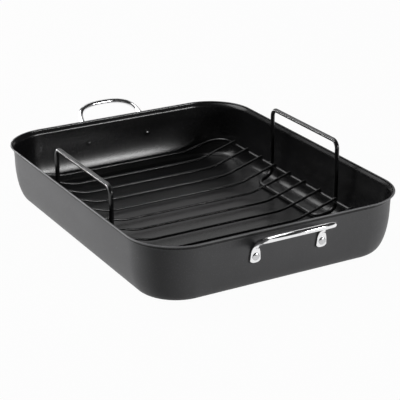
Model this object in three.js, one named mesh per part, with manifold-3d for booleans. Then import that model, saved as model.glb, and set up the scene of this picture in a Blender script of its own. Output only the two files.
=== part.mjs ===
// Roasting pan with a lift-out wire rack.
// Millimetres, +Z up, +X along the pan towards one end handle, origin under the middle of the floor.
import * as THREE from 'three';
import { mergeVertices } from 'three/addons/utils/BufferGeometryUtils.js';
import Module from 'manifold-3d';

// Pan
const RIM_LENGTH = 410;
const RIM_WIDTH = 329;
const RIM_HEIGHT = 69.5;
const RIM_CORNER_RADIUS = 57;
const SHEET = 1.2;
const LIP_REACH = 3.2;
const LIP_HEIGHT = 4.6;
const LIP_EDGE = 1.8;
const WALL_TAPER = THREE.MathUtils.degToRad(2.55);
const BEND_RUN = 16.5;
const BEND_RISE = 51.5;

// End handles, bent from rod and flattened to a paddle at each end
const HANDLE_ROD = 6.4;
const HANDLE_SPACING = 83.1;
const HANDLE_UNDER_LIP = 5.5;
const HANDLE_TILT = THREE.MathUtils.degToRad(28.2);
const HANDLE_KNEE_RADIUS = 18;
const HANDLE_REACH = 35.7;
const HANDLE_SHOULDER = 17.6;
const HANDLE_SHOULDER_DRAW = 1.6;
const HANDLE_CROWN_DRAW = 1;
const PADDLE_WIDTH = 12.8;
const PADDLE_THICKNESS = 2.4;
const PADDLE_BELOW_RIVET = 7.4;
const PADDLE_END_RISE = 3.3;
const PADDLE_END_CUT = THREE.MathUtils.degToRad(25);
const PADDLE_SHOULDER_WIDTH = 11.4;
const PADDLE_NECK_TURN = THREE.MathUtils.degToRad(32);
const PADDLE_SQUARENESS = 0.5;

// Rivets
const RIVET_BELOW_KNEE = 14.5;
const RIVET_SHANK = 4;
const RIVET_HEAD = 8.4;
const RIVET_HEAD_RISE = 1.6;
const RIVET_DOME = 7.2;
const RIVET_DOME_RISE = 1.7;

// Rack, with heights above the pan's floor
const RACK_SHIFT = 3.2;
const RACK_END_GAP = 7.9;
const RACK_SIDE_GAP = 3.86;
const FRAME_WIRE = 4;
const FRAME_SIDE_RISE = 23;
const FRAME_CORNER_TIGHTER = 33;
const CROSS_WIRE = 3.2;
const CROSS_WIRE_PITCH = 32.92;
const CROSS_WIRE_OVERHANG = 1;
const BED_RISE = 11;
const BED_SIDE_RUN = 53.6;
const BED_BEND_RADIUS = 60;
const LIFT_WIRE = 5.2;
const LIFT_LENGTH = 139.6;
const LIFT_SHIFT = 4.3;
const LIFT_ABOVE_RIM = 25.9;
const LIFT_CORNER_RADIUS = 9;
const LIFT_KNEE_RISE = 9.3;
const LIFT_KNEE_RADIUS = 10;
const LIFT_FOOT_INSET = 22.5;
const LIFT_FOOT_NARROWER = 5;
const LIFT_FOOT_RADIUS = 11;

// Clearance kept between pieces that touch on the real product
const SEAT = 0.3;

// Facets
const ARC_STEP = THREE.MathUtils.degToRad(18);
const CORNER_STEPS = 12;
const BEND_STEPS = 7;
const LIP_STEPS = 4;
const LIP_EDGE_STEPS = 4;
const PADDLE_END_STEPS = 4;
const ROD_SIDES = 12;
const WIRE_SIDES = 10;
const RIVET_SIDES = 16;
const DOME_STEPS = 4;
const ARCH_STEPS = 9;
const WELD_DISTANCE = 1e-4;

const coated = { color: 0x2c2c2e, roughness: 0.42, metalness: 0.25 };
const wireCoat = { color: 0x161617, roughness: 0.36, metalness: 0.2 };
const polished = { color: 0xcfd1d3, roughness: 0.12, metalness: 1 };

const wasm = await Module();
wasm.setup();

// Closed solids

function facingOut(positions, indices) {
  const [a, b, c] = [new THREE.Vector3(), new THREE.Vector3(), new THREE.Vector3()];
  let volume = 0;
  for (let i = 0; i < indices.length; i += 3) {
    a.fromArray(positions, indices[i] * 3);
    b.fromArray(positions, indices[i + 1] * 3);
    c.fromArray(positions, indices[i + 2] * 3);
    volume += a.dot(b.cross(c));
  }
  if (volume < 0) indices.reverse();
  const geometry = new THREE.BufferGeometry();
  geometry.setAttribute('position', new THREE.Float32BufferAttribute(positions, 3));
  geometry.setIndex(indices);
  return geometry;
}

// Skins a row of rings that have the same number of points. An open row gets a flat fan at each end.
function loft(rings, closed = false) {
  const sides = rings[0].length;
  const positions = rings.flat().flatMap((point) => point.toArray());
  const indices = [];
  const spans = closed ? rings.length : rings.length - 1;
  for (let i = 0; i < spans; i += 1) {
    const here = i * sides;
    const next = ((i + 1) % rings.length) * sides;
    for (let j = 0; j < sides; j += 1) {
      const k = (j + 1) % sides;
      indices.push(here + j, here + k, next + k, here + j, next + k, next + j);
    }
  }
  if (!closed) {
    for (const flip of [true, false]) {
      const ring = flip ? rings[0] : rings.at(-1);
      const start = flip ? 0 : (rings.length - 1) * sides;
      const centre = positions.length / 3;
      const middle = ring.reduce((sum, point) => sum.add(point), new THREE.Vector3()).divideScalar(sides);
      positions.push(...middle.toArray());
      for (let j = 0; j < sides; j += 1) {
        const edge = [start + j, start + ((j + 1) % sides)];
        indices.push(...(flip ? edge.reverse() : edge), centre);
      }
    }
  }
  return facingOut(positions, indices);
}

function solidOf(geometry) {
  const bare = geometry.clone();
  bare.deleteAttribute('normal');
  bare.deleteAttribute('uv');
  const merged = mergeVertices(bare, WELD_DISTANCE);
  return new wasm.Manifold(new wasm.Mesh({
    numProp: 3,
    vertProperties: new Float32Array(merged.attributes.position.array),
    triVerts: new Uint32Array(merged.index.array),
  }));
}

function cutAway(geometry, cutters) {
  const left = cutters.reduce((body, cutter) => body.subtract(solidOf(cutter)), solidOf(geometry));
  const mesh = left.getMesh();
  const result = new THREE.BufferGeometry();
  result.setAttribute('position', new THREE.Float32BufferAttribute(mesh.vertProperties, 3));
  result.setIndex(Array.from(mesh.triVerts));
  return result;
}

// Bent wire

// A polyline whose corners are rounded. Each corner is { at, radius }, and a free end has no radius.
function bentPath(corners) {
  const points = [];
  corners.forEach(({ at, radius = 0 }, i) => {
    if (radius === 0) {
      points.push(at.clone());
      return;
    }
    const back = corners.at(i - 1).at.clone().sub(at).normalize();
    const ahead = corners[(i + 1) % corners.length].at.clone().sub(at).normalize();
    const turn = Math.PI - back.angleTo(ahead);
    const tangent = radius * Math.tan(turn / 2);
    const centre = back.clone().add(ahead).normalize().multiplyScalar(radius / Math.cos(turn / 2)).add(at);
    const start = at.clone().addScaledVector(back, tangent).sub(centre);
    const axis = back.clone().negate().cross(ahead).normalize();
    const steps = Math.max(2, Math.ceil(turn / ARC_STEP));
    for (let s = 0; s <= steps; s += 1) {
      points.push(start.clone().applyAxisAngle(axis, (turn * s) / steps).add(centre));
    }
  });
  return points;
}

// Frames carried along a path without twist. Each holds the point and two directions across the path.
function framesAlong(path, across, closed = false) {
  const count = path.length;
  const tangents = path.map((point, i) => {
    const before = closed || i > 0 ? path.at(i - 1) : point;
    const after = closed || i < count - 1 ? path[(i + 1) % count] : point;
    const incoming = point.clone().sub(before).normalize();
    const outgoing = after.clone().sub(point).normalize();
    return incoming.add(outgoing).normalize();
  });
  let side = across.clone().addScaledVector(tangents[0], -across.dot(tangents[0])).normalize();
  return path.map((point, i) => {
    if (i > 0) {
      const carry = new THREE.Quaternion().setFromUnitVectors(tangents[i - 1], tangents[i]);
      side = side.clone().applyQuaternion(carry);
    }
    return { point, side, rise: tangents[i].clone().cross(side) };
  });
}

function ringAt({ point, side, rise }, width, height, sides, squareness = 1) {
  return Array.from({ length: sides }, (_, j) => {
    const angle = ((j + 0.5) / sides) * 2 * Math.PI;
    const u = Math.sign(Math.cos(angle)) * Math.abs(Math.cos(angle)) ** squareness;
    const v = Math.sign(Math.sin(angle)) * Math.abs(Math.sin(angle)) ** squareness;
    return point.clone().addScaledVector(side, (u * width) / 2).addScaledVector(rise, (v * height) / 2);
  });
}

// Round wire along a path. A closed loop's rings are turned step by step so that the last meets the first.
function wire(path, diameter, across, closed = false) {
  const frames = framesAlong(path, across, closed);
  let untwist = 0;
  if (closed) {
    const [last, first] = [frames.at(-1), frames[0]];
    const carry = new THREE.Quaternion().setFromUnitVectors(
      last.side.clone().cross(last.rise),
      first.side.clone().cross(first.rise),
    );
    const arrived = last.side.clone().applyQuaternion(carry);
    untwist = -Math.atan2(arrived.dot(first.rise), arrived.dot(first.side));
  }
  const rings = frames.map(({ point, side, rise }, i) => {
    const turn = (untwist * i) / frames.length;
    const turned = side.clone().multiplyScalar(Math.cos(turn)).addScaledVector(rise, Math.sin(turn));
    const risen = rise.clone().multiplyScalar(Math.cos(turn)).addScaledVector(side, -Math.sin(turn));
    return ringAt({ point, side: turned, rise: risen }, diameter, diameter, WIRE_SIDES);
  });
  return loft(rings, closed);
}

// Pan body

// The outer skin, given by its inset from the rim's edge at each height.
const lipUnderside = RIM_HEIGHT - SHEET;
const wallTop = lipUnderside - LIP_HEIGHT;
const wallInset = (height) => LIP_REACH + (wallTop - height) * Math.tan(WALL_TAPER);
const bendInset = wallInset(BEND_RISE);

function skinInset(height) {
  if (height >= BEND_RISE) return wallInset(height);
  const drop = 1 - height / BEND_RISE;
  return bendInset + BEND_RUN * (1 - Math.sqrt(1 - drop * drop));
}

function skinLean(height) {
  if (height >= BEND_RISE) return WALL_TAPER;
  const drop = 1 - height / BEND_RISE;
  return Math.max(WALL_TAPER, Math.atan((BEND_RUN * drop) / (BEND_RISE * Math.sqrt(1 - drop * drop))));
}

const insideInset = (height) => skinInset(height) + SHEET / Math.cos(skinLean(height));

// The lip ends in a round edge that is thicker than the sheet. The lip's underside runs into it at edgeJoin.
const edgeRadius = LIP_EDGE / 2;
const edgeJoin = edgeRadius + Math.sqrt(edgeRadius ** 2 - (SHEET - edgeRadius) ** 2);

// Section of the outer skin from the floor's edge to the lip's edge, as inset and height.
function outerSection() {
  const bend = Array.from({ length: BEND_STEPS + 1 }, (_, i) => {
    const angle = (i / BEND_STEPS) * (Math.PI / 2);
    return new THREE.Vector2(
      bendInset + BEND_RUN * (1 - Math.sin(angle)),
      BEND_RISE * (1 - Math.cos(angle)),
    );
  });
  const lip = Array.from({ length: LIP_STEPS + 1 }, (_, i) => {
    const angle = (i / LIP_STEPS) * (Math.PI / 2);
    return new THREE.Vector2(
      THREE.MathUtils.lerp(edgeJoin, LIP_REACH, Math.cos(angle)),
      wallTop + LIP_HEIGHT * Math.sin(angle),
    );
  });
  return [...bend, ...lip];
}

// The round edge, from its lowest line outwards and up to the rim's top.
function edgeSection() {
  return Array.from({ length: LIP_EDGE_STEPS + 1 }, (_, i) => {
    const angle = (i / LIP_EDGE_STEPS) * Math.PI;
    return new THREE.Vector2(
      edgeRadius * (1 - Math.sin(angle)),
      RIM_HEIGHT - edgeRadius * (1 + Math.cos(angle)),
    );
  });
}

// The outer section moved inwards by the sheet's thickness.
function innerSection(outer) {
  return outer.map((point, i) => {
    const along = outer[Math.min(i + 1, outer.length - 1)].clone().sub(outer[Math.max(i - 1, 0)]).normalize();
    const inward = new THREE.Vector2(along.y, -along.x);
    if (i === 0 || i === outer.length - 1) inward.set(0, 1);
    return point.clone().addScaledVector(inward, SHEET);
  });
}

// A level ring round the pan. The lip's corners are as wide as the wall's, and lower ones are tighter.
function planRing({ x: inset, y: height }) {
  const halfLength = RIM_LENGTH / 2 - inset;
  const halfWidth = RIM_WIDTH / 2 - inset;
  const radius = RIM_CORNER_RADIUS - Math.max(inset - LIP_REACH, 0);
  const centres = [[1, 1], [-1, 1], [-1, -1], [1, -1]];
  return centres.flatMap(([sx, sy], corner) => Array.from({ length: CORNER_STEPS + 1 }, (_, i) => {
    const angle = (corner + i / CORNER_STEPS) * (Math.PI / 2);
    return new THREE.Vector3(
      sx * (halfLength - radius) + radius * Math.cos(angle),
      sy * (halfWidth - radius) + radius * Math.sin(angle),
      height,
    );
  }));
}

// Rivet places: a frame on the end wall's outer face, its z axis square to the wall and pointing out.
const handleKnee = wallTop - HANDLE_UNDER_LIP - HANDLE_ROD / 2;
const rivetHeight = handleKnee - RIVET_BELOW_KNEE;
const wallFace = (height) => RIM_LENGTH / 2 - skinInset(height);

function rivetPlace(end, side) {
  const place = new THREE.Object3D();
  const lean = skinLean(rivetHeight);
  const out = new THREE.Vector3(end * Math.cos(lean), 0, -Math.sin(lean));
  place.position.set(end * wallFace(rivetHeight), (side * HANDLE_SPACING) / 2, rivetHeight);
  place.quaternion.setFromUnitVectors(new THREE.Vector3(0, 0, 1), out);
  place.updateMatrix();
  return place;
}

const ends = [{ name: 'front', sign: 1 }, { name: 'rear', sign: -1 }];
const flanks = [{ name: 'left', sign: -1 }, { name: 'right', sign: 1 }];

// A hole for a rivet's shank, long enough each way from the wall's outer face to pass wall and paddle.
function rivetHole(end, side) {
  const radius = RIVET_SHANK / 2 + SEAT;
  const holeLength = 4 * (SHEET + SEAT + PADDLE_THICKNESS);
  const hole = new THREE.CylinderGeometry(radius, radius, holeLength, RIVET_SIDES);
  hole.rotateX(Math.PI / 2);
  return hole.applyMatrix4(rivetPlace(end, side).matrix);
}

function panBody() {
  const outer = outerSection();
  const section = [...outer, ...edgeSection(), ...innerSection(outer).reverse()];
  const holes = ends.flatMap((end) => flanks.map((flank) => rivetHole(end.sign, flank.sign)));
  return cutAway(loft(section.map(planRing)), holes);
}

// End handles

// The paddle's rounded bottom end, as heights and widths.
const paddleBottom = rivetHeight - PADDLE_BELOW_RIVET;
const paddleEnd = Array.from({ length: PADDLE_END_STEPS }, (_, i) => {
  const angle = THREE.MathUtils.lerp(PADDLE_END_CUT, Math.PI / 2, i / (PADDLE_END_STEPS - 1));
  const rise = PADDLE_END_RISE * (1 - Math.cos(angle) / Math.cos(PADDLE_END_CUT));
  return { height: paddleBottom + rise, width: PADDLE_WIDTH * Math.sin(angle) };
});

// Half of the rod at the +X end, from the paddle's bottom to the crown's middle, with each point's section.
function halfHandle() {
  const { lerp } = THREE.MathUtils;
  const halfSpacing = HANDLE_SPACING / 2;
  const onWall = (height) => {
    const stand = (SEAT + PADDLE_THICKNESS / 2) / Math.cos(skinLean(height));
    return new THREE.Vector3(wallFace(height) + stand, halfSpacing, height);
  };
  const outward = new THREE.Vector3(Math.cos(HANDLE_TILT), 0, Math.sin(HANDLE_TILT));
  const knee = onWall(handleKnee);
  const kneeTurn = Math.PI / 2 - HANDLE_TILT - skinLean(handleKnee);
  const archStart = knee.clone().addScaledVector(outward, HANDLE_KNEE_RADIUS * Math.tan(kneeTurn / 2));
  const onArch = (across, reach) => archStart.clone().addScaledVector(outward, reach).setY(across);
  const arch = new THREE.CubicBezierCurve3(
    onArch(halfSpacing, 0),
    onArch(halfSpacing - HANDLE_SHOULDER_DRAW, HANDLE_SHOULDER),
    onArch(halfSpacing - HANDLE_CROWN_DRAW, HANDLE_REACH),
    onArch(0, HANDLE_REACH),
  );
  const paddle = paddleEnd.map(({ height, width }) => (
    { at: onWall(height), width, thickness: PADDLE_THICKNESS, squareness: PADDLE_SQUARENESS }
  ));
  const bend = bentPath([
    { at: onWall(rivetHeight) },
    { at: knee, radius: HANDLE_KNEE_RADIUS },
    { at: archStart },
  ]).slice(1, -1);
  const neck = bend.map((at, i) => {
    const turned = (kneeTurn * i) / (bend.length - 1);
    const share = Math.min(turned / PADDLE_NECK_TURN, 1);
    return {
      at,
      width: lerp(PADDLE_SHOULDER_WIDTH, HANDLE_ROD, share),
      thickness: lerp(PADDLE_THICKNESS, HANDLE_ROD, share ** 2),
      squareness: lerp(PADDLE_SQUARENESS, 1, share),
    };
  });
  const crown = arch.getSpacedPoints(ARCH_STEPS).slice(1).map((at) => (
    { at, width: HANDLE_ROD, thickness: HANDLE_ROD, squareness: 1 }
  ));
  return [...paddle, ...neck, ...crown];
}

function panHandle(end) {
  const half = halfHandle();
  const mirrored = half.slice(0, -1).reverse().map((section) => (
    { ...section, at: new THREE.Vector3(section.at.x, -section.at.y, section.at.z) }
  ));
  const whole = [...half, ...mirrored];
  const frames = framesAlong(whole.map((section) => section.at), new THREE.Vector3(0, 1, 0));
  const rings = frames.map((frame, i) => (
    ringAt(frame, whole[i].width, whole[i].thickness, ROD_SIDES, whole[i].squareness)
  ));
  const handle = loft(rings);
  if (end < 0) handle.rotateZ(Math.PI);
  return cutAway(handle, flanks.map((flank) => rivetHole(end, flank.sign)));
}

// Rivets

// A dome from its top on the axis to its rim, as radius and place along the axis.
function dome(diameter, rise, base) {
  return Array.from({ length: DOME_STEPS + 1 }, (_, i) => {
    const angle = (i / DOME_STEPS) * (Math.PI / 2);
    return new THREE.Vector2((diameter / 2) * Math.sin(angle), base + rise * Math.cos(angle));
  });
}

// Turned about its own axis: a dome inside the pan, a shank through wall and paddle, a domed head outside.
function rivet() {
  const inside = -SHEET - SEAT;
  const outside = SEAT + PADDLE_THICKNESS + SEAT;
  const profile = [
    ...dome(RIVET_DOME, -RIVET_DOME_RISE, inside),
    new THREE.Vector2(RIVET_SHANK / 2, inside),
    new THREE.Vector2(RIVET_SHANK / 2, outside),
    ...dome(RIVET_HEAD, RIVET_HEAD_RISE, outside).reverse(),
  ];
  return new THREE.LatheGeometry(profile, RIVET_SIDES);
}

// Rack

const bedHeight = SHEET + BED_RISE;
const sideHeight = SHEET + FRAME_SIDE_RISE;
const liftKnee = SHEET + LIFT_KNEE_RISE;
const frameHalfLength = RIM_LENGTH / 2 - insideInset(bedHeight) - RACK_END_GAP - FRAME_WIRE / 2;
const legOffset = RIM_WIDTH / 2 - insideInset(liftKnee) - RACK_SIDE_GAP - LIFT_WIRE / 2;
const frameHalfWidth = legOffset - LIFT_WIRE / 2 - SEAT - FRAME_WIRE / 2;
const bedHalfWidth = frameHalfWidth - BED_SIDE_RUN;
const frameCorner = Math.max(RIM_CORNER_RADIUS - FRAME_CORNER_TIGHTER, 2 * FRAME_WIRE);

// Rise of a cross wire per millimetre, such that its inclined end lies on top of the frame's side wire.
function bedSlope() {
  const seat = FRAME_WIRE / 2 + CROSS_WIRE / 2 + SEAT;
  const rise = sideHeight - bedHeight;
  const run = BED_SIDE_RUN;
  return (rise * run + seat * Math.sqrt(run * run + rise * rise - seat * seat)) / (run * run - seat * seat);
}

function crossWire() {
  const tip = frameHalfWidth + CROSS_WIRE_OVERHANG;
  const tipHeight = bedHeight + bedSlope() * (tip - bedHalfWidth);
  const path = bentPath([
    { at: new THREE.Vector3(0, -tip, tipHeight) },
    { at: new THREE.Vector3(0, -bedHalfWidth, bedHeight), radius: BED_BEND_RADIUS },
    { at: new THREE.Vector3(0, bedHalfWidth, bedHeight), radius: BED_BEND_RADIUS },
    { at: new THREE.Vector3(0, tip, tipHeight) },
  ]);
  return wire(path, CROSS_WIRE, new THREE.Vector3(1, 0, 0));
}

function rackFrame() {
  const corners = [[1, 1], [-1, 1], [-1, -1], [1, -1]].flatMap(([sx, sy], i) => {
    const corner = {
      at: new THREE.Vector3(sx * frameHalfLength, sy * frameHalfWidth, sideHeight),
      radius: frameCorner,
    };
    const dip = {
      at: new THREE.Vector3(sx * frameHalfLength, sy * bedHalfWidth, bedHeight),
      radius: BED_BEND_RADIUS,
    };
    return i % 2 === 0 ? [dip, corner] : [corner, dip];
  });
  return wire(bentPath(corners), FRAME_WIRE, new THREE.Vector3(0, 0, 1), true);
}

// A closed loop: the grip above the rim, two legs outside the frame, and the foot bar on the pan's floor.
function liftHandle(side) {
  const halfLength = LIFT_LENGTH / 2;
  const halfFoot = halfLength - LIFT_FOOT_NARROWER;
  const footHeight = SHEET + SEAT + LIFT_WIRE / 2;
  const at = (x, y, z) => new THREE.Vector3(x, side * y, z);
  const half = (sign) => [
    { at: at(sign * halfFoot, legOffset - LIFT_FOOT_INSET, footHeight), radius: LIFT_FOOT_RADIUS },
    { at: at(sign * halfLength, legOffset, liftKnee), radius: LIFT_KNEE_RADIUS },
    { at: at(sign * halfLength, legOffset, RIM_HEIGHT + LIFT_ABOVE_RIM), radius: LIFT_CORNER_RADIUS },
  ];
  const path = bentPath([...half(1), ...half(-1).reverse()]);
  return wire(path, LIFT_WIRE, new THREE.Vector3(0, 1, 0), true);
}

// Assembly

function piece(name, geometry, finish) {
  const flat = geometry.index ? geometry.toNonIndexed() : geometry;
  flat.computeVertexNormals();
  const mesh = new THREE.Mesh(flat, new THREE.MeshStandardMaterial(finish));
  mesh.name = name;
  return mesh;
}

const pan = new THREE.Group();
pan.add(piece('pan_body', panBody(), coated));
for (const end of ends) {
  pan.add(piece(`pan_handle_${end.name}`, panHandle(end.sign), polished));
  for (const flank of flanks) {
    const mesh = piece(`pan_rivet_${end.name}_${flank.name}`, rivet().rotateX(Math.PI / 2), polished);
    mesh.applyMatrix4(rivetPlace(end.sign, flank.sign).matrix);
    pan.add(mesh);
  }
}

const rack = new THREE.Group();
rack.position.x = RACK_SHIFT;
rack.add(piece('rack_frame', rackFrame(), wireCoat));
const crossWireBays = Math.floor((2 * (frameHalfLength - frameCorner)) / CROSS_WIRE_PITCH);
for (let i = 0; i <= crossWireBays; i += 1) {
  const mesh = piece(`rack_wire_${i + 1}`, crossWire(), wireCoat);
  mesh.position.x = (i - crossWireBays / 2) * CROSS_WIRE_PITCH;
  rack.add(mesh);
}
for (const flank of flanks) {
  const mesh = piece(`rack_handle_${flank.name}`, liftHandle(flank.sign), wireCoat);
  mesh.position.x = LIFT_SHIFT;
  rack.add(mesh);
}

const roastingPan = new THREE.Group();
roastingPan.add(pan, rack);

export default roastingPan;
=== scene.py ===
import math

import bpy
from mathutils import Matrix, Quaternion, Vector


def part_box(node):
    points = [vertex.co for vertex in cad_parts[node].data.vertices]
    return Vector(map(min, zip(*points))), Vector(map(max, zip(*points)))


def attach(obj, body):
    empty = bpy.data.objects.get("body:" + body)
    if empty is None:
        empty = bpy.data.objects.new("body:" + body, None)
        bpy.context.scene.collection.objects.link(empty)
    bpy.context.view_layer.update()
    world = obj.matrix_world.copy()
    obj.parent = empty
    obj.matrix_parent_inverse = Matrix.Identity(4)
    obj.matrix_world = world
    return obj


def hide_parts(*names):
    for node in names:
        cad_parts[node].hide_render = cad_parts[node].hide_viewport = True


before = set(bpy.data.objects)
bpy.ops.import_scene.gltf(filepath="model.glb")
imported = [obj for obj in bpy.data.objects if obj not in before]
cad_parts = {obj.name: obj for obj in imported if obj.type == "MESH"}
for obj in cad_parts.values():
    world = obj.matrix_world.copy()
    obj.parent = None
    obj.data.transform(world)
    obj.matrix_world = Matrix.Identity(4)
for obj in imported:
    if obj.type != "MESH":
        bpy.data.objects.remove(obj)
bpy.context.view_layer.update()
mm = 0.001  # lengths below are millimetres, turned to metres where a mesh or a lamp is made

scene = bpy.context.scene
scene.view_settings.view_transform = "Standard"


# camera, matched to the rim, the lip and the handles in the photograph

cameraView = {
    "azimuth": 60.35,  # degrees from the -Y side round towards +X
    "elevation": 21.92,
    "target": (23.9, -6.5, 34.2),
    "distance": 1660.2,
    "focalPixels": 1434.3,
    "pictureWidth": 400,
    "sensorWidth": 36,
}


def makeCamera(v):
    azimuth, elevation = math.radians(v["azimuth"]), math.radians(v["elevation"])
    level = math.cos(elevation)
    back = Vector((math.sin(azimuth) * level, -math.cos(azimuth) * level, math.sin(elevation)))
    data = bpy.data.cameras.new("pictureCamera")
    data.sensor_width = v["sensorWidth"]
    data.lens = v["sensorWidth"] * v["focalPixels"] / v["pictureWidth"]
    camera = bpy.data.objects.new("pictureCamera", data)
    camera.location = (Vector(v["target"]) + back * v["distance"]) * mm
    camera.rotation_mode = "QUATERNION"
    camera.rotation_quaternion = (-back).to_track_quat("-Z", "Y")
    scene.collection.objects.link(camera)
    scene.camera = camera


makeCamera(cameraView)
print("camera placed")


# mesh helpers


def link(obj):
    scene.collection.objects.link(obj)
    return obj


# skins rows of points that have the same count; a loop's ends are joined, others are capped
def skin(rows, loop=False):
    count = len(rows[0])
    points = [p for row in rows for p in row]
    faces = []
    for i in range(len(rows) if loop else len(rows) - 1):
        here, there = i * count, (i + 1) % len(rows) * count
        for j in range(count):
            k = (j + 1) % count
            faces.append((here + j, here + k, there + k, there + j))
    if not loop:
        last = (len(rows) - 1) * count
        faces.append(tuple(reversed(range(count))))
        faces.append(tuple(range(last, last + count)))
    return points, faces


# all the faces are turned over where the closed shell is inside out
def facesOut(points, faces):
    volume = 0
    for face in faces:
        a = points[face[0]]
        for b, c in zip(face[1:], face[2:]):
            volume += a.dot(points[b].cross(points[c]))
    return faces if volume > 0 else [tuple(reversed(f)) for f in faces]


# one object from closed shells, each points, faces and a material number, or a list of them for the faces
def makePiece(name, shells, materials):
    points, faces, slots = [], [], []
    for shellPoints, shellFaces, slot in shells:
        first = len(points)
        points += shellPoints
        shellFaces = facesOut(shellPoints, shellFaces)
        faces += [tuple(first + i for i in f) for f in shellFaces]
        slots += slot if isinstance(slot, list) else [slot] * len(shellFaces)
    mesh = bpy.data.meshes.new(name)
    mesh.from_pydata([p * mm for p in points], [], faces)
    for material in materials:
        mesh.materials.append(material)
    mesh.polygons.foreach_set("material_index", slots)
    mesh.polygons.foreach_set("use_smooth", [True] * len(faces))
    mesh.update()
    return link(bpy.data.objects.new(name, mesh))


def dress(piece, node, body):
    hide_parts(node)
    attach(piece, body)


bendStep = math.radians(4)  # turn between two rings on a bend
fewestSteps = 3


# a line through corners, each a place and a bend radius; a free end has no radius
def bentLine(corners):
    line = []
    for i, (place, radius) in enumerate(corners):
        if radius == 0:
            line.append(place.copy())
            continue
        back = (corners[i - 1][0] - place).normalized()
        ahead = (corners[(i + 1) % len(corners)][0] - place).normalized()
        turn = math.pi - back.angle(ahead)
        centre = place + (back + ahead).normalized() * (radius / math.cos(turn / 2))
        start = place + back * (radius * math.tan(turn / 2)) - centre
        axis = (-back).cross(ahead).normalized()
        steps = max(fewestSteps, math.ceil(turn / bendStep))
        for s in range(steps + 1):
            line.append(centre + Quaternion(axis, turn * s / steps) @ start)
    return line


# a place and two directions across the line at each point, carried along without twist
def carriedFrames(line, across, loop=False):
    count = len(line)
    along = []
    for i, point in enumerate(line):
        before = line[i - 1] if loop or i else point
        after = line[(i + 1) % count] if loop or i < count - 1 else point
        along.append(((point - before).normalized() + (after - point).normalized()).normalized())
    side = (across - along[0] * across.dot(along[0])).normalized()
    frames = [(line[0], side, along[0].cross(side))]
    for i in range(1, count):
        side = along[i - 1].rotation_difference(along[i]) @ side
        frames.append((line[i], side, along[i].cross(side)))
    if not loop:
        return frames
    arrived = along[-1].rotation_difference(along[0]) @ side
    leftOver = -math.atan2(arrived.dot(frames[0][2]), arrived.dot(frames[0][1]))
    turned = []
    for i, (point, u, v) in enumerate(frames):
        a = leftOver * i / count
        turned.append((point, u * math.cos(a) + v * math.sin(a), v * math.cos(a) - u * math.sin(a)))
    return turned


# a ring round a line; squareness under 1 flattens its sides towards a rounded oblong
def ringRound(place, width, height, sides, squareness=1.0):
    point, side, rise = place
    ring = []
    for j in range(sides):
        angle = 2 * math.pi * (j + 0.5) / sides
        c, s = math.cos(angle), math.sin(angle)
        u = math.copysign(abs(c) ** squareness, c) * width / 2
        v = math.copysign(abs(s) ** squareness, s) * height / 2
        ring.append(point + side * u + rise * v)
    return ring


# a ball of weld metal, squashed to its three half sizes
def weldBead(place, halfSizes, axes, rings, sides):
    rows = []
    for i in range(1, rings):
        tilt = math.pi * i / rings
        row = []
        for j in range(sides):
            turn = 2 * math.pi * j / sides
            ball = (math.sin(tilt) * math.cos(turn), math.sin(tilt) * math.sin(turn), math.cos(tilt))
            row.append(place + sum((a * h * b for a, h, b in zip(axes, halfSizes, ball)), Vector()))
        rows.append(row)
    return skin(rows)


def lerp(a, b, t):
    return a + (b - a) * t


# finishes: shared effects are node groups, each material keeps its own shader


def newGroup(name, inputs, outputs):
    group = bpy.data.node_groups.new(name, "ShaderNodeTree")
    for label, value in inputs.items():
        made = group.interface.new_socket(name=label, in_out="INPUT", socket_type="NodeSocketFloat")
        made.default_value = value
    for label in outputs:
        group.interface.new_socket(name=label, in_out="OUTPUT", socket_type="NodeSocketFloat")
    entry = group.nodes.new("NodeGroupInput")
    leave = group.nodes.new("NodeGroupOutput")
    return group, entry, leave


# a node with its settings; those that start with in_ are values of its inputs
def add(tree, kind, **settings):
    node = tree.nodes.new(kind)
    for key, value in settings.items():
        if key.startswith("in_"):
            node.inputs[key[3:].replace("_", " ")].default_value = value
        else:
            setattr(node, key, value)
    return node


def remap(tree, value, low, high, toLow=0.0, toHigh=1.0):
    node = add(tree, "ShaderNodeMapRange", in_From_Min=low, in_From_Max=high,
               in_To_Min=toLow, in_To_Max=toHigh)
    tree.links.new(value, node.inputs["Value"])
    return node.outputs["Result"]


def combine(tree, operation, a, b):
    node = add(tree, "ShaderNodeMath", operation=operation)
    for slot, value in enumerate((a, b)):
        if isinstance(value, (int, float)):
            node.inputs[slot].default_value = value
        else:
            tree.links.new(value, node.inputs[slot])
    return node.outputs[0]


# noise at a scale from the group's own inputs, its span of values stretched to the spread
def groupNoise(group, vector, scale, span, spread=(0.0, 1.0), **settings):
    node = add(group, "ShaderNodeTexNoise", **settings)
    group.links.new(vector, node.inputs["Vector"])
    group.links.new(scale, node.inputs["Scale"])
    return remap(group, node.outputs["Fac"], *span, *spread)


def onPiece(group):
    return add(group, "ShaderNodeTexCoord").outputs["Object"]


# baked-on coating: a fine pebbled height, pale flecks and broad mottling
coatingGrain = {
    "noiseRoughness": 0.55,
    "outputs": {
        "Height": {"input": "Pebble Scale", "scale": 900.0, "detail": 2.0, "span": (0.25, 0.75)},
        "Flecks": {"input": "Fleck Scale", "scale": 1500.0, "detail": 0.0, "span": (0.62, 0.8)},
        "Mottle": {"input": "Mottle Scale", "scale": 14.0, "detail": 4.0, "span": (0.3, 0.7)},
    },
}


def coatingGroup(v):
    scales = {grain["input"]: grain["scale"] for grain in v["outputs"].values()}
    group, entry, leave = newGroup("bakedCoating", scales, list(v["outputs"]))
    where = onPiece(group)
    for name, grain in v["outputs"].items():
        value = groupNoise(group, where, entry.outputs[grain["input"]], grain["span"],
                           in_Detail=grain["detail"], in_Roughness=v["noiseRoughness"])
        group.links.new(value, leave.inputs[name])
    return group


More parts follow.
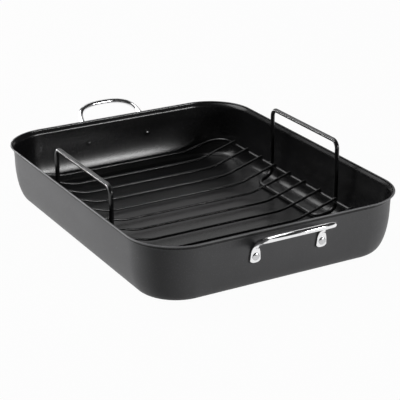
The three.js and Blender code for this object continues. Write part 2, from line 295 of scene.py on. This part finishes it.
# rubbed edges, broken up so that the line isn't even
edgeWear = {
    "start": 0.52, "full": 0.62,  # how sharp an edge is where wear begins and where it is full
    "breakScale": 160.0, "breakDetail": 3.0, "breakSpan": (0.3, 0.65), "wearLeft": (0.35, 1.0),
}


def edgeGroup(v):
    inputs = {"Start": v["start"], "Full": v["full"], "Break Scale": v["breakScale"]}
    group, entry, leave = newGroup("rubbedEdges", inputs, ["Wear"])
    point = add(group, "ShaderNodeNewGeometry").outputs["Pointiness"]
    edge = add(group, "ShaderNodeMapRange")
    group.links.new(point, edge.inputs["Value"])
    group.links.new(entry.outputs["Start"], edge.inputs["From Min"])
    group.links.new(entry.outputs["Full"], edge.inputs["From Max"])
    uneven = groupNoise(group, onPiece(group), entry.outputs["Break Scale"], v["breakSpan"], v["wearLeft"],
                        in_Detail=v["breakDetail"])
    group.links.new(combine(group, "MULTIPLY", edge.outputs["Result"], uneven), leave.inputs["Wear"])
    return group


# handling: hairlines left by polishing or wiping, and the film that fingers leave
handlingMarks = {
    "hairlineScale": 2200.0, "hairlineDetail": 2.0, "hairlineSpan": (0.3, 0.7),
    "stretch": (1.0, 0.04, 1.0),  # the hairlines run along Y
    "filmScale": 45.0, "filmDetail": 5.0, "filmSpan": (0.42, 0.72),
    "filmNoiseRoughness": 0.6, "filmDistortion": 0.8,
}


def handlingGroup(v):
    inputs = {"Hairline Scale": v["hairlineScale"], "Film Scale": v["filmScale"]}
    group, entry, leave = newGroup("handlingMarks", inputs, ["Hairlines", "Film"])
    where = onPiece(group)
    stretch = add(group, "ShaderNodeMapping", in_Scale=v["stretch"])
    group.links.new(where, stretch.inputs["Vector"])
    lines = groupNoise(group, stretch.outputs["Vector"], entry.outputs["Hairline Scale"], v["hairlineSpan"],
                       in_Detail=v["hairlineDetail"])
    film = groupNoise(group, where, entry.outputs["Film Scale"], v["filmSpan"], in_Detail=v["filmDetail"],
                      in_Roughness=v["filmNoiseRoughness"], in_Distortion=v["filmDistortion"])
    group.links.new(lines, leave.inputs["Hairlines"])
    group.links.new(film, leave.inputs["Film"])
    return group


coating, rubbed, handling = coatingGroup(coatingGrain), edgeGroup(edgeWear), handlingGroup(handlingMarks)


def useGroup(tree, group, **values):
    node = add(tree, "ShaderNodeGroup", node_tree=group)
    for key, value in values.items():
        node.inputs[key.replace("_", " ")].default_value = value
    return node.outputs


# mixes a share of a colour into a base; the mix node's colours are its sockets 6 and 7
def tint(tree, share, colour, base):
    node = add(tree, "ShaderNodeMix", data_type="RGBA")
    tree.links.new(share, node.inputs[0])
    for slot, value in ((6, base), (7, colour)):
        if isinstance(value, tuple):
            node.inputs[slot].default_value = (*value, 1)
        else:
            tree.links.new(value, node.inputs[slot])
    return node.outputs[2]


def newFinish(name, **constants):
    material = bpy.data.materials.new(name)
    material.use_nodes = True
    tree = material.node_tree
    shader = tree.nodes["Principled BSDF"]
    for key, value in constants.items():
        shader.inputs[key.replace("_", " ")].default_value = value
    return material, tree, shader


def addBump(tree, shader, height, depth):
    bump = add(tree, "ShaderNodeBump", in_Distance=depth * mm, in_Strength=1.0)
    tree.links.new(height, bump.inputs["Height"])
    tree.links.new(bump.outputs["Normal"], shader.inputs["Normal"])


# coated metal: colour, roughness and grain from the look given
def coatedFinish(name, look):
    material, tree, shader = newFinish(name, IOR=look["ior"], Specular_IOR_Level=look["specular"])
    coat = useGroup(tree, coating, Pebble_Scale=look["pebbles"], Fleck_Scale=look["flecks"],
                    Mottle_Scale=look["mottle"])
    wear = useGroup(tree, rubbed, Start=look["wearFrom"], Full=look["wearFull"])["Wear"]
    marks = useGroup(tree, handling, Film_Scale=look["film"])
    base = tint(tree, coat["Mottle"], look["pale"], look["deep"])
    flecked = tint(tree, combine(tree, "MULTIPLY", coat["Flecks"], look["fleckShare"]), look["fleck"], base)
    worn = tint(tree, combine(tree, "MULTIPLY", wear, look["wearShare"]), look["bare"], flecked)
    tree.links.new(worn, shader.inputs["Base Color"])
    low, high = look["roughness"]
    sheen = remap(tree, coat["Mottle"], 0, 1, low, high)
    smeared = combine(tree, "ADD", sheen, combine(tree, "MULTIPLY", marks["Film"], look["filmRoughness"]))
    tree.links.new(smeared, shader.inputs["Roughness"])
    addBump(tree, shader, coat["Height"], look["pebbleDepth"])
    return material


outsideLook = {
    "deep": (0.096, 0.096, 0.098), "pale": (0.114, 0.114, 0.117),
    "fleck": (0.16, 0.16, 0.165), "fleckShare": 0.5, "bare": (0.2, 0.2, 0.2), "wearShare": 0.5,
    "wearFrom": 0.53, "wearFull": 0.62, "roughness": (0.40, 0.46), "filmRoughness": 0.03,
    "ior": 1.5, "specular": 0.1,
    "pebbles": 750.0, "flecks": 900.0, "mottle": 16.0, "film": 30.0, "pebbleDepth": 0.03,
}
insideLook = {
    "deep": (0.0045, 0.0045, 0.0048), "pale": (0.0065, 0.0065, 0.0069),
    "fleck": (0.05, 0.05, 0.052), "fleckShare": 0.4, "bare": (0.12, 0.12, 0.12), "wearShare": 0.4,
    "wearFrom": 0.53, "wearFull": 0.62, "roughness": (0.22, 0.25), "filmRoughness": 0.02,
    "ior": 1.5, "specular": 0.5,
    "pebbles": 900.0, "flecks": 1100.0, "mottle": 18.0, "film": 36.0, "pebbleDepth": 0.008,
}
paintedLipHighlightLook = {**outsideLook, "deep": (0.19, 0.19, 0.195), "pale": (0.23, 0.23, 0.235)}  # painted highlight: a paler copy of the outside coat on the lip's round edge stands in for the light line along it
# painted shade: a darker, less glossy copy of the outside coat on the lip's flare and the underside of its
# edge stands in for the shade under the lip
paintedUnderLipShadeLook = {**outsideLook, "deep": (0.03, 0.03, 0.03), "pale": (0.04, 0.04, 0.04), "specular": 0.05}
domeLook = {**insideLook, "roughness": (0.14, 0.16), "specular": 1.0, "pebbleDepth": 0.002}
wireLook = {
    "deep": (0.005, 0.005, 0.0053), "pale": (0.008, 0.008, 0.0084),
    "fleck": (0.04, 0.04, 0.04), "fleckShare": 0.3, "bare": (0.05, 0.05, 0.05), "wearShare": 0.3,
    "wearFrom": 0.56, "wearFull": 0.7, "roughness": (0.19, 0.24), "filmRoughness": 0.04,
    "ior": 1.5, "specular": 0.5,
    "pebbles": 1100.0, "flecks": 1400.0, "mottle": 60.0, "film": 70.0, "pebbleDepth": 0.02,
}
steelLook = {
    "deep": (0.80, 0.80, 0.81), "pale": (0.90, 0.90, 0.905),
    "roughness": (0.07, 0.13), "filmRoughness": 0.08, "hairlines": 1800.0, "film": 90.0,
    "hairlineDepth": 0.002,
}
rivetLook = {**steelLook, "deep": (0.50, 0.50, 0.51), "pale": (0.62, 0.62, 0.625), "roughness": (0.14, 0.2)}


def polishedFinish(name, look):
    material, tree, shader = newFinish(name, Metallic=1.0)
    marks = useGroup(tree, handling, Hairline_Scale=look["hairlines"], Film_Scale=look["film"])
    tree.links.new(tint(tree, marks["Hairlines"], look["pale"], look["deep"]), shader.inputs["Base Color"])
    low, high = look["roughness"]
    sheen = remap(tree, marks["Hairlines"], 0, 1, high, low)
    smeared = combine(tree, "ADD", sheen, combine(tree, "MULTIPLY", marks["Film"], look["filmRoughness"]))
    tree.links.new(smeared, shader.inputs["Roughness"])
    addBump(tree, shader, marks["Hairlines"], look["hairlineDepth"])
    return material


outsideCoat = coatedFinish("charcoalOutside", outsideLook)
insideCoat = coatedFinish("nonStickInside", insideLook)
# paler and darker copies of the outside coat: a painted highlight along the lip's round edge and a painted
# shade under the lip
paintedLipHighlightCoat = coatedFinish("paintedLipHighlight", paintedLipHighlightLook)
paintedUnderLipShadeCoat = coatedFinish("paintedUnderLipShade", paintedUnderLipShadeLook)
domeCoat = coatedFinish("coatedDome", domeLook)
wireCoat = coatedFinish("coatedWire", wireLook)
polishedSteel = polishedFinish("polishedSteel", steelLook)
rivetSteel = polishedFinish("rivetSteel", rivetLook)
print("finishes made")


# pan body: one drawn sheet, swept round the plan from the floor's edge to the lip

panShape = {
    "sheet": 1.2,
    "cornerRadius": 57,
    "lipReach": 3.2, "lipHeight": 4.6, "lipEdge": 1.8,
    "flare": math.radians(30), "flareBend": 4.5,  # the lip's lean, and its bend out of the wall
    "paintedShadeUpTo": 0.1, "paintedHighlightUpTo": 0.52, "insideFrom": 0.7,  # shares of the round edge where coats change: the painted shade under the lip ends, the painted highlight along the edge ends, and the inside coat begins
    "taper": math.radians(2.55),
    "bendRun": 16.5, "bendRise": 51.5,
    "bendSteps": 30, "wallSteps": 4, "lipSteps": 8, "flareSteps": 4, "edgeSteps": 18,
    "cornerSteps": 36, "sideSteps": 14,
    "floorRims": (2, 8, 20, 36),  # rings on the flat floor, counted inwards from the bend
    "floorShares": (0.75, 0.5, 0.25, 0.05),  # then rings drawn in towards the middle
}
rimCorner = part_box("pan_body")[1] / mm
rimHalfLength, rimHalfWidth, rimHeight = rimCorner
wallTop = rimHeight - panShape["sheet"] - panShape["lipHeight"]
edgeRadius = panShape["lipEdge"] / 2
edgeMiddle = Vector((edgeRadius, rimHeight - edgeRadius))  # inset and height of the round edge's middle


def wallInset(height):
    return panShape["lipReach"] + (wallTop - height) * math.tan(panShape["taper"])


bendInset = wallInset(panShape["bendRise"])


def skinInset(height):
    if height >= panShape["bendRise"]:
        return wallInset(height)
    drop = 1 - height / panShape["bendRise"]
    return bendInset + panShape["bendRun"] * (1 - math.sqrt(1 - drop * drop))


def skinLean(height):
    if height >= panShape["bendRise"]:
        return panShape["taper"]
    drop = 1 - height / panShape["bendRise"]
    slope = panShape["bendRun"] * drop / (panShape["bendRise"] * math.sqrt(1 - drop * drop))
    return max(panShape["taper"], math.atan(slope))


def insideInset(height):
    return skinInset(height) + panShape["sheet"] / math.cos(skinLean(height))


def wallFace(height):
    return rimHalfLength - skinInset(height)


# where the flare's outer side (1) or inner side (-1) runs into the round edge
def flareSide(v, side):
    half = v["sheet"] / 2
    outward = Vector((-math.cos(v["flare"]), -math.sin(v["flare"])))
    down = Vector((math.sin(v["flare"]), -math.cos(v["flare"])))
    return edgeMiddle + outward * (side * half) + down * math.sqrt(edgeRadius ** 2 - half ** 2)


# outer skin as inset and height, from the floor's edge to the lip's end
def outerSection(v):
    section = []
    for i in range(v["bendSteps"] + 1):
        a = math.pi / 2 * i / v["bendSteps"]
        height = v["bendRise"] * (1 - math.cos(a))
        section.append(Vector((bendInset + v["bendRun"] * (1 - math.sin(a)), height)))
    flareEnd = flareSide(v, 1)
    along = Vector((math.sin(v["flare"]), -math.cos(v["flare"])))  # down the flare
    fall = along.x / -along.y - math.tan(v["taper"])
    reach = (wallInset(flareEnd.y) - flareEnd.x) / (fall * -along.y)
    corner = flareEnd + along * reach
    tangent = v["flareBend"] * math.tan((v["flare"] - v["taper"]) / 2)
    wallEnd = corner.y - tangent * math.cos(v["taper"])
    for i in range(1, v["wallSteps"]):
        height = lerp(v["bendRise"], wallEnd, i / v["wallSteps"])
        section.append(Vector((wallInset(height), height)))
    outward = Vector((-math.cos(v["taper"]), -math.sin(v["taper"])))
    middle = Vector((wallInset(wallEnd), wallEnd)) + outward * v["flareBend"]
    for i in range(v["lipSteps"] + 1):
        lean = lerp(v["taper"], v["flare"], i / v["lipSteps"])
        section.append(middle + Vector((math.cos(lean), math.sin(lean))) * v["flareBend"])
    bendEnd = section[-1]
    return section + [bendEnd.lerp(flareEnd, i / v["flareSteps"]) for i in range(1, v["flareSteps"] + 1)]


# the lip's round edge, from the flare's outer side, down and out and up to its inner side
def edgeSection(v):
    first, last = (flareSide(v, side) - edgeMiddle for side in (1, -1))
    start = math.atan2(first.y, first.x)
    sweep = 2 * math.pi - first.angle(last)
    edge = []
    for i in range(1, v["edgeSteps"]):
        a = start - sweep * i / v["edgeSteps"]
        edge.append(edgeMiddle + Vector((math.cos(a), math.sin(a))) * edgeRadius)
    return edge


def innerSection(outer, sheet):
    inner = []
    for i, point in enumerate(outer):
        along = (outer[min(i + 1, len(outer) - 1)] - outer[max(i - 1, 0)]).normalized()
        inward = Vector((along.y, -along.x)) if i else Vector((0, 1))  # the floor's edge is level
        inner.append(point + inward * sheet)
    return inner


def planRing(inset, height):
    v = panShape
    halfLength, halfWidth = rimHalfLength - inset, rimHalfWidth - inset
    radius = v["cornerRadius"] - max(inset - v["lipReach"], 0)
    corners = []
    for corner, (sx, sy) in enumerate(((1, 1), (-1, 1), (-1, -1), (1, -1))):
        for i in range(v["cornerSteps"] + 1):
            a = math.pi / 2 * (corner + i / v["cornerSteps"])
            corners.append(Vector((sx * (halfLength - radius) + radius * math.cos(a),
                                   sy * (halfWidth - radius) + radius * math.sin(a), height)))
    ring = []
    for i, point in enumerate(corners):
        ring.append(point)
        if i % (v["cornerSteps"] + 1) == v["cornerSteps"]:
            after = corners[(i + 1) % len(corners)]
            ring += [point.lerp(after, s / v["sideSteps"]) for s in range(1, v["sideSteps"])]
    return ring


def makePan():
    v = panShape
    outer = outerSection(v)
    inner = innerSection(outer, v["sheet"])
    rows = [planRing(*p) for p in outer + edgeSection(v) + inner[::-1]]
    underside, floor = [], []
    for rings, level in ((underside, 0), (floor, v["sheet"])):
        rim = [planRing(outer[0].x + inset, level) for inset in v["floorRims"]]
        middle = Vector((0, 0, level))
        rings += rim + [[middle.lerp(p, share) for p in rim[-1]] for share in v["floorShares"]]
    rows = underside[::-1] + rows + floor
    points, faces = skin(rows)
    sides = len(rows[0])
    edgeRow = len(underside) + len(outer) - 1

    def onEdge(share):
        return edgeRow + round(v["edgeSteps"] * share)

    # slot lipEdge carries the painted highlight along the lip's round edge, slot underLip the painted shade
    # under the lip
    outside, inside, lipEdge, underLip = range(4)
    slots = []
    for lastRow, slot in (
        (edgeRow - v["flareSteps"], outside),
        (onEdge(v["paintedShadeUpTo"]), underLip),
        (onEdge(v["paintedHighlightUpTo"]), lipEdge),
        (onEdge(v["insideFrom"]), outside),
        (len(rows) - 1, inside),
    ):
        slots += [slot] * (lastRow * sides - len(slots))
    slots += [outside, inside]  # the middles of the underside and of the floor
    coats = [outsideCoat, insideCoat, paintedLipHighlightCoat, paintedUnderLipShadeCoat]
    pan = makePiece("panBody", [(points, faces, slots)], coats)
    dress(pan, "pan_body", "pan")


makePan()
print("pan body made")


# end handles: a bent rod, flattened to a paddle at each end

handleShape = {
    "rod": 6.4, "spacing": 83.1, "underLip": 5.5,
    "tilt": math.radians(28.2), "kneeRadius": 18,
    "reach": 35.7, "shoulder": 17.6, "shoulderDraw": 1.6, "crownDraw": 1,
    "paddleWidth": 12.8, "paddleThickness": 2.4, "belowRivet": 7.4,
    "endRise": 3.3, "endCut": math.radians(14),  # the rounded bottom end, cut off flat at its very tip
    "edgeRounding": 0.7, "edgeThinner": 0.45,  # the tip thins over this height, to this share
    "shoulderWidth": 11.4, "neckTurn": math.radians(32),  # the knee's turn over which paddle becomes rod
    "squareness": 0.5, "seat": 0.3,
    "sides": 32, "paddleSteps": 24, "closerBelow": 1.6, "archSteps": 34,
}
rivetShape = {
    "belowKnee": 14.5, "shank": 4, "head": 8.4, "headRise": 1.6, "headEdge": 0.3,
    "dome": 7.2, "domeRise": 1.7, "sides": 36, "steps": 10,
}
handleKnee = wallTop - handleShape["underLip"] - handleShape["rod"] / 2
rivetHeight = handleKnee - rivetShape["belowKnee"]
paddleBottom = rivetHeight - handleShape["belowRivet"]


# width and thickness of the flat paddle at a height below the knee's bend
def paddleSection(height, bendStart):
    v = handleShape
    up = height - paddleBottom
    if up <= v["endRise"]:
        width = v["paddleWidth"] * math.sin(math.acos(math.cos(v["endCut"]) * (1 - up / v["endRise"])))
        edge = min(up / v["edgeRounding"], 1)
        thickness = v["paddleThickness"] * lerp(v["edgeThinner"], 1, math.sqrt(1 - (1 - edge) ** 2))
        return width, thickness, v["squareness"]
    share = (up - v["endRise"]) / (bendStart - paddleBottom - v["endRise"])
    return lerp(v["paddleWidth"], v["shoulderWidth"], share), v["paddleThickness"], v["squareness"]


def bezier(a, b, c, d, t):
    return a * (1 - t) ** 3 + b * (3 * t * (1 - t) ** 2) + c * (3 * t * t * (1 - t)) + d * t ** 3


# half of the rod at the +X end, as places with the section that each has
def halfHandle():
    v = handleShape
    half = v["spacing"] / 2

    def onWall(height):
        stand = (v["seat"] + v["paddleThickness"] / 2) / math.cos(skinLean(height))
        return Vector((wallFace(height) + stand, half, height))

    outward = Vector((math.cos(v["tilt"]), 0, math.sin(v["tilt"])))
    knee = onWall(handleKnee)
    turn = math.pi / 2 - v["tilt"] - skinLean(handleKnee)
    archStart = knee + outward * v["kneeRadius"] * math.tan(turn / 2)
    bend = bentLine([(onWall(rivetHeight), 0), (knee, v["kneeRadius"]), (archStart, 0)])[1:-1]
    bendStart = bend[0].z

    def onArch(across, reach):
        point = archStart + outward * reach
        return Vector((point.x, across, point.z))

    places = []
    for i in range(v["paddleSteps"]):
        height = lerp(paddleBottom, bendStart, (i / v["paddleSteps"]) ** v["closerBelow"])
        places.append((onWall(height), paddleSection(height, bendStart)))
    for i, point in enumerate(bend):
        share = min(turn * i / (len(bend) - 1) / v["neckTurn"], 1)
        width = lerp(v["shoulderWidth"], v["rod"], share)
        thickness = lerp(v["paddleThickness"], v["rod"], share ** 2)
        places.append((point, (width, thickness, lerp(v["squareness"], 1, share))))
    whole = (v["rod"], v["rod"], 1.0)
    curve = (onArch(half, 0), onArch(half - v["shoulderDraw"], v["shoulder"]),
             onArch(half - v["crownDraw"], v["reach"]), onArch(0, v["reach"]))
    places += [(bezier(*curve, i / v["archSteps"]), whole) for i in range(1, v["archSteps"] + 1)]
    return places


ends = {"front": 1, "rear": -1}
flanks = {"left": -1, "right": 1}


def makeHandles():
    v = handleShape
    half = halfHandle()
    mirrored = [(Vector((p.x, -p.y, p.z)), section) for p, section in half[-2::-1]]
    places = half + mirrored
    frames = carriedFrames([p for p, section in places], Vector((0, 1, 0)))
    rows = [ringRound(f, s[0], s[1], v["sides"], s[2]) for f, (p, s) in zip(frames, places)]
    points, faces = skin(rows)
    for name, sign in ends.items():
        turned = [Vector((p.x * sign, p.y * sign, p.z)) for p in points]
        piece = makePiece("panHandle" + name.title(), [(turned, faces, 0)], [polishedSteel])
        dress(piece, "pan_handle_" + name, "pan")


# rivets: a coated dome inside the pan, a polished low head on the paddle
def makeRivets():
    v = rivetShape
    seat = handleShape["seat"]
    inside = -panShape["sheet"] - seat
    outside = 2 * seat + handleShape["paddleThickness"]
    quarter = [math.pi / 2 * i / v["steps"] for i in range(v["steps"] + 1)]
    dome = [(v["dome"] / 2 * math.sin(a), inside - v["domeRise"] * math.cos(a)) for a in quarter[1:]]
    crown = v["headRise"] - v["headEdge"]
    ball = ((v["head"] / 2) ** 2 + crown ** 2) / (2 * crown)  # radius of the ball that the head is a cap of
    capTilt = math.asin(v["head"] / 2 / ball)
    tilts = [capTilt * (1 - i / v["steps"]) for i in range(v["steps"])]
    head = [(ball * math.sin(a), outside + v["headRise"] - ball * (1 - math.cos(a))) for a in tilts]
    profile = dome + [(v["shank"] / 2, inside), (v["shank"] / 2, outside), (v["head"] / 2, outside)] + head
    angles = [2 * math.pi * j / v["sides"] for j in range(v["sides"])]
    steel, coat = range(2)
    domeFaces = len(dome) * v["sides"]
    sideFaces = (len(profile) - 1) * v["sides"]
    slots = [coat] * domeFaces + [steel] * (sideFaces - domeFaces) + [coat, steel]  # the caps come last
    lean = skinLean(rivetHeight)
    for endName, end in ends.items():
        out = Vector((end * math.cos(lean), 0, -math.sin(lean)))
        turn = Vector((0, 0, 1)).rotation_difference(out)
        for flankName, flank in flanks.items():
            foot = Vector((end * wallFace(rivetHeight), flank * handleShape["spacing"] / 2, rivetHeight))
            rows = []
            for radius, along in profile:
                ring = [Vector((radius * math.cos(a), radius * math.sin(a), along)) for a in angles]
                rows.append([foot + turn @ p for p in ring])
            points, faces = skin(rows)
            piece = makePiece("panRivet" + endName.title() + flankName.title(),
                              [(points, faces, slots)], [rivetSteel, domeCoat])
            dress(piece, "pan_rivet_%s_%s" % (endName, flankName), "pan")


makeHandles()
makeRivets()
print("handles and rivets made")


# rack: a dipped frame, cross wires welded on top of it and two lift handles welded outside it

rackShape = {
    "endGap": 7.9, "sideGap": 3.86, "seat": 0.3,
    "frameWire": 4, "sideRise": 23, "cornerTighter": 33, "tightestCorner": 2,  # in wire diameters
    "crossWire": 3.2, "overhang": 1, "tipRounding": 0.9,
    "bedRise": 11, "bedSideRun": 53.6, "bedBend": 60,
    "liftWire": 5.2, "liftLength": 139.6, "aboveRim": 25.9, "gripRadius": 9,
    "kneeRise": 9.3, "kneeRadius": 10, "footInset": 22.5, "footNarrower": 5, "footRadius": 11,
    "wireSides": 20, "straightSteps": 10, "longStretch": 4,  # stretches over this many diameters are cut up
    "beadSizes": (2.1, 2.0, 1.0),  # half sizes along the frame, along the other wire and through the joint
    "beadRings": 8, "beadSides": 14, "tipSteps": 5,
}


def middleX(node):
    low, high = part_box(node)
    return (low.x + high.x) / 2 / mm


floorTop = panShape["sheet"]
bedHeight = floorTop + rackShape["bedRise"]
sideHeight = floorTop + rackShape["sideRise"]
liftKnee = floorTop + rackShape["kneeRise"]
frameHalfLength = rimHalfLength - insideInset(bedHeight) - rackShape["endGap"] - rackShape["frameWire"] / 2
legOffset = rimHalfWidth - insideInset(liftKnee) - rackShape["sideGap"] - rackShape["liftWire"] / 2
frameHalfWidth = legOffset - rackShape["liftWire"] / 2 - rackShape["seat"] - rackShape["frameWire"] / 2
bedHalfWidth = frameHalfWidth - rackShape["bedSideRun"]
frameCorner = max(panShape["cornerRadius"] - rackShape["cornerTighter"],
                  rackShape["tightestCorner"] * rackShape["frameWire"])


# round wire along a line, with its straight stretches cut into shorter ones
def roundWire(line, diameter, across, loop=False, tipRounding=0.0):
    v = rackShape
    fine = []
    for i, point in enumerate(line):
        fine.append((point, 1.0))
        if i == len(line) - 1 and not loop:
            break
        after = line[(i + 1) % len(line)]
        if (after - point).length > v["longStretch"] * diameter:
            fine += [(point.lerp(after, s / v["straightSteps"]), 1.0) for s in range(1, v["straightSteps"])]
    if tipRounding:
        fine = roundedTips(fine, tipRounding, diameter)
    frames = carriedFrames([p for p, share in fine], across, loop)
    rows = [ringRound(f, diameter * s, diameter * s, v["wireSides"]) for f, (p, s) in zip(frames, fine)]
    return skin(rows, loop)


# the first and last rings shrink towards the cut ends, within the wire's own length
def roundedTips(fine, rounding, diameter):
    steps = rackShape["tipSteps"]
    core = 1 - 2 * rounding / diameter
    for reverse in (False, True):
        if reverse:
            fine = fine[::-1]
        tip, inwards = fine[0][0], (fine[1][0] - fine[0][0]).normalized()
        rounded = []
        for s in range(steps + 1):
            a = math.pi / 2 * s / steps
            rounded.append((tip + inwards * rounding * (1 - math.cos(a)), core + (1 - core) * math.sin(a)))
        fine = rounded + fine[1:]
    return fine[::-1]


# rise of a cross wire for each millimetre, such that its raised end lies on top of the frame's side
def bedSlope():
    v = rackShape
    seat = v["frameWire"] / 2 + v["crossWire"] / 2 + v["seat"]
    rise, run = sideHeight - bedHeight, v["bedSideRun"]
    rest = run * run - seat * seat
    return (rise * run + seat * math.sqrt(rest + rise * rise)) / rest


def makeFrame():
    v = rackShape
    middle = middleX("rack_frame")
    corners = []
    for i, (sx, sy) in enumerate(((1, 1), (-1, 1), (-1, -1), (1, -1))):
        x = middle + sx * frameHalfLength
        corner = (Vector((x, sy * frameHalfWidth, sideHeight)), frameCorner)
        dip = (Vector((x, sy * bedHalfWidth, bedHeight)), v["bedBend"])
        corners += [dip, corner] if i % 2 == 0 else [corner, dip]
    points, faces = roundWire(bentLine(corners), v["frameWire"], Vector((0, 0, 1)), loop=True)
    piece = makePiece("rackFrame", [(points, faces, 0)], [wireCoat])
    dress(piece, "rack_frame", "rack")


def makeCrossWires():
    v = rackShape
    slope = bedSlope()
    tip = frameHalfWidth + v["overhang"]
    tipHeight = bedHeight + slope * (tip - bedHalfWidth)
    lean = math.atan(slope)
    nodes = sorted(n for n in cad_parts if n.startswith("rack_wire_"))
    for node in nodes:
        x = middleX(node)
        line = bentLine([
            (Vector((x, -tip, tipHeight)), 0),
            (Vector((x, -bedHalfWidth, bedHeight)), v["bedBend"]),
            (Vector((x, bedHalfWidth, bedHeight)), v["bedBend"]),
            (Vector((x, tip, tipHeight)), 0),
        ])
        shells = [(*roundWire(line, v["crossWire"], Vector((1, 0, 0)), tipRounding=v["tipRounding"]), 0)]
        for sign in flanks.values():
            along = Vector((0, sign * math.cos(lean), math.sin(lean)))
            through = Vector((0, -sign * math.sin(lean), math.cos(lean)))
            joint = Vector((x, sign * frameHalfWidth, sideHeight))
            joint += through * (v["frameWire"] + v["seat"]) / 2
            axes = (Vector((1, 0, 0)), along, through)
            bead = weldBead(joint, v["beadSizes"], axes, v["beadRings"], v["beadSides"])
            shells.append((*bead, 0))
        piece = makePiece("rackWire" + node.rsplit("_", 1)[1], shells, [wireCoat])
        dress(piece, node, "rack")


# a closed loop: the grip above the rim, two legs outside the frame, and the foot bar on the pan's floor
def makeLiftHandles():
    v = rackShape
    halfLength = v["liftLength"] / 2
    halfFoot = halfLength - v["footNarrower"]
    footHeight = floorTop + v["seat"] + v["liftWire"] / 2
    for name, flank in flanks.items():
        node = "rack_handle_" + name
        middle = middleX(node)

        def at(x, y, z):
            return Vector((middle + x, flank * y, z))

        def halfLoop(sign):
            return [
                (at(sign * halfFoot, legOffset - v["footInset"], footHeight), v["footRadius"]),
                (at(sign * halfLength, legOffset, liftKnee), v["kneeRadius"]),
                (at(sign * halfLength, legOffset, rimHeight + v["aboveRim"]), v["gripRadius"]),
            ]

        line = bentLine(halfLoop(1) + halfLoop(-1)[::-1])
        shells = [(*roundWire(line, v["liftWire"], Vector((0, 1, 0)), loop=True), 0)]
        for sign in (1, -1):
            joint = at(sign * halfLength, legOffset - (v["liftWire"] + v["seat"]) / 2, sideHeight)
            axes = (Vector((1, 0, 0)), Vector((0, 0, 1)), Vector((0, 1, 0)))
            bead = weldBead(joint, v["beadSizes"], axes, v["beadRings"], v["beadSides"])
            shells.append((*bead, 0))
        piece = makePiece("rackHandle" + name.title(), shells, [wireCoat])
        dress(piece, node, "rack")


makeFrame()
makeCrossWires()
makeLiftHandles()
print("rack made")


# floor, world and lamps

studio = {
    "floorHalf": 12000, "floorColour": (0.3, 0.3, 0.3), "floorGlow": 0.97,
    "sweepRise": 600, "sweepOut": 200,  # the floor's far edges turn up into a low backdrop
    "worldColour": (0.04, 0.04, 0.04),
    "lamps": {
        "leftStrip": {"at": (-1250, -480, 36), "aim": (0, 0, 30), "size": (1300, 62), "watts": 7},
        "leftFill": {"at": (-950, -1105, 40), "aim": (0, 0, 30), "size": (380, 60), "watts": 11.5},
        "leftKey": {"at": (-960, -780, 1180), "aim": (0, 0, 30), "size": (1600, 1250), "watts": 20},
        "frontRightBox": {"at": (1290, 795, 400), "aim": (0, 0, 30), "size": (650, 165), "watts": 11},
        "overheadPanel": {"at": (-400, -300, 1350), "aim": (0, 0, 30), "size": (1100, 1100), "watts": 8},
        "backStrip": {"at": (-1300, 960, 1320), "aim": (0, 0, 30), "size": (1800, 260), "watts": 2},
        "backPanel": {"at": (-1740, 990, 1200), "aim": (0, 0, 1200), "size": (1800, 2250), "watts": 6.4},
    },
}


# 1 where the camera, metal or glass looks at the floor, which then shows plain white
def plainShown(tree):
    rays = add(tree, "ShaderNodeLightPath").outputs
    turned = combine(tree, "MAXIMUM", rays["Is Glossy Ray"], rays["Is Transmission Ray"])
    return combine(tree, "MAXIMUM", rays["Is Camera Ray"], turned)


def makeWorld(v):
    world = bpy.data.worlds.new("studioWorld")
    world.use_nodes = True
    scene.world = world
    backdrop = world.node_tree.nodes["Background"]
    backdrop.inputs["Color"].default_value = (*v["worldColour"], 1)
    backdrop.inputs["Strength"].default_value = 1.0


def makeFloor(v):
    corners = ((-1, -1), (1, -1), (1, 1), (-1, 1))
    points = []
    for half, height in ((v["floorHalf"], 0), (v["floorHalf"] + v["sweepOut"], v["sweepRise"])):
        points += [Vector((x * half, y * half, height)) * mm for x, y in corners]
    sides = [(i, (i + 1) % 4, (i + 1) % 4 + 4, i + 4) for i in range(4)]
    mesh = bpy.data.meshes.new("studioFloor")
    mesh.from_pydata(points, [], [(0, 1, 2, 3)] + sides)
    floor = link(bpy.data.objects.new("studioFloor", mesh))
    material = bpy.data.materials.new("paleFloor")
    material.use_nodes = True
    tree = material.node_tree
    tree.nodes.remove(tree.nodes["Principled BSDF"])
    matt = add(tree, "ShaderNodeBsdfDiffuse", in_Color=(*v["floorColour"], 1))
    glow = add(tree, "ShaderNodeEmission", in_Color=(1, 1, 1, 1), in_Strength=1.0)
    mix = add(tree, "ShaderNodeMixShader")
    tree.links.new(combine(tree, "MULTIPLY", plainShown(tree), v["floorGlow"]), mix.inputs[0])
    tree.links.new(matt.outputs[0], mix.inputs[1])
    tree.links.new(glow.outputs[0], mix.inputs[2])
    tree.links.new(mix.outputs[0], tree.nodes["Material Output"].inputs["Surface"])
    mesh.materials.append(material)


def makeLamps(v):
    for name, values in v["lamps"].items():
        data = bpy.data.lights.new(name, "AREA")
        data.shape = "RECTANGLE"
        data.size, data.size_y = (s * mm for s in values["size"])
        data.energy = values["watts"]
        lamp = link(bpy.data.objects.new(name, data))
        at, aim = Vector(values["at"]), Vector(values["aim"])
        lamp.location = at * mm
        lamp.rotation_mode = "QUATERNION"
        lamp.rotation_quaternion = (aim - at).to_track_quat("-Z", "Y")
        lamp.visible_camera = False


makeWorld(studio)
makeFloor(studio)
makeLamps(studio)
print("studio lit")
